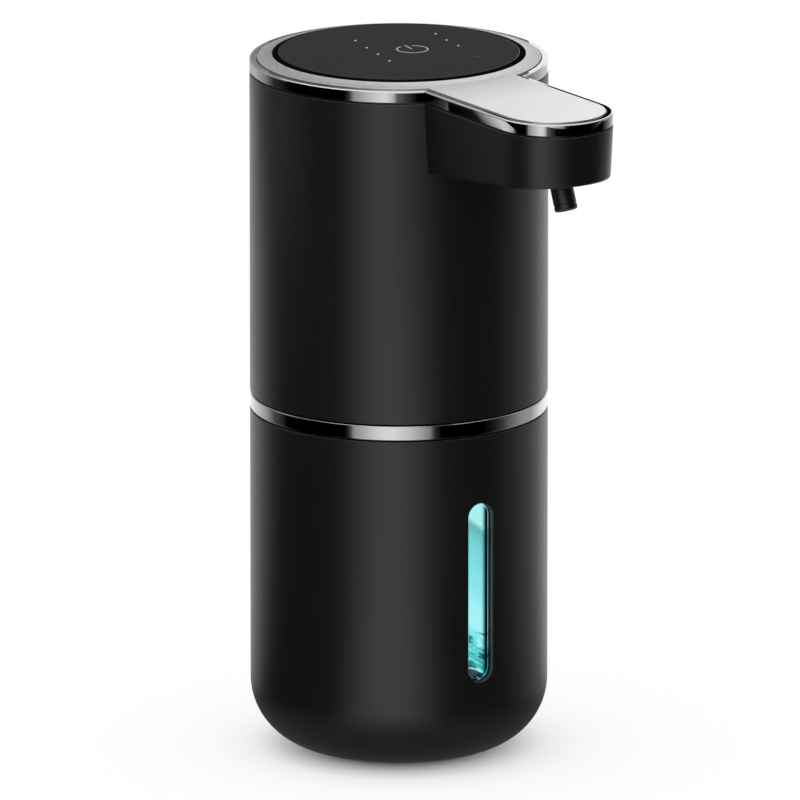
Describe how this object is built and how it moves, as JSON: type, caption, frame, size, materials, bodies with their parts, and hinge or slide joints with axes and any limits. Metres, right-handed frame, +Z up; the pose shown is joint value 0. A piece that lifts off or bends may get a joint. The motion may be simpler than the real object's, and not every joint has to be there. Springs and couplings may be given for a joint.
{
  "type": "automatic foam soap dispenser",
  "caption": "Free-standing automatic foam soap dispenser: a bottle with a level window, and a screw-on head with a forward spout, a touch panel, a small diaphragm pump and a charging port.",
  "frame": {"origin": "on the body's upright axis at the underside of the foot pad", "axes": "+Z up along the body's axis, the spout points to -Y, the charging port is at +Y"},
  "size_m": [0.076, 0.1236, 0.1817],
  "materials": {
    "black_plastic": "fine matt black",
    "inner_plastic": "plain moulded black",
    "pale_plastic": "plain moulded off-white",
    "clear_plastic": "clear moulded",
    "gloss_black": "polished black",
    "chrome": "bright plated",
    "satin_metal": "satin, finely brushed",
    "steel": "plain steel",
    "black_rubber": "matt black",
    "silicone": "milky, satin",
    "green_board": "green solder mask",
    "blue_wrap": "shrink wrap"
  },
  "bodies": {
    "bottle": {"bottle_shell": "black_plastic", "tank": "clear_plastic", "foot_pad": "black_rubber"},
    "seal": {"neck_gasket": "silicone"},
    "head": {"seam_band": "chrome", "head_base": "inner_plastic", "head_housing": "black_plastic", "top_trim": "chrome", "top_inlay": "satin_metal", "touch_panel": "gloss_black", "light_guide": "inner_plastic", "touch_spring": "steel", "control_board": "green_board", "board_tray": "inner_plastic", "battery_cell": "blue_wrap", "battery_cradle": "inner_plastic", "motor_can": "steel", "motor_end_cap": "pale_plastic", "pump_case": "pale_plastic", "pump_diaphragm": "black_rubber", "valve_plate": "pale_plastic", "pump_cover": "pale_plastic", "pump_cushion": "black_rubber", "inlet_seal": "silicone", "dip_tube": "silicone", "intake_strainer": "pale_plastic", "vent_valve": "black_rubber", "foam_hose": "silicone", "nozzle_body": "black_plastic", "foam_screen": "steel", "nozzle_insert": "black_plastic", "sensor_window": "gloss_black", "sensor_board": "green_board", "usb_socket": "steel", "charge_board": "green_board"},
    "rotor": {"motor_shaft": "steel", "eccentric_hub": "pale_plastic", "wobble_pin": "steel"},
    "wobble": {"wobble_plate": "pale_plastic"},
    "port_flap": {"port_plug": "black_rubber"}
  },
  "joints": [
    {"name": "head_rise", "type": "slide", "parent": "bottle", "child": "seal", "axis": [0, 0, 1], "range_m": [0, 0.006]},
    {"name": "head_twist", "type": "hinge", "parent": "seal", "child": "head", "pos_m": [0, 0, 0.0893], "axis": [0, 0, 1], "range_deg": [0, 360]},
    {"name": "pump_spin", "type": "hinge", "parent": "head", "child": "rotor", "pos_m": [-0.01135, 0, 0.1336], "axis": [0, 0, 1], "continuous": true},
    {"name": "wobble_spin", "type": "hinge", "parent": "rotor", "child": "wobble", "pos_m": [-0.01135, 0, 0.123], "axis": [0, -0.1045, 0.9945], "continuous": true},
    {"name": "port_flap", "type": "hinge", "parent": "head", "child": "port_flap", "pos_m": [0, 0.038, 0.1103], "axis": [-1, 0, 0], "range_deg": [0, 120]}
  ],
  "couplings": [
    {"joint": "head_rise", "follows": "head_twist", "m_per_rad": 0.00095493},
    {"joint": "wobble_spin", "follows": "pump_spin", "ratio": -1}
  ]
}
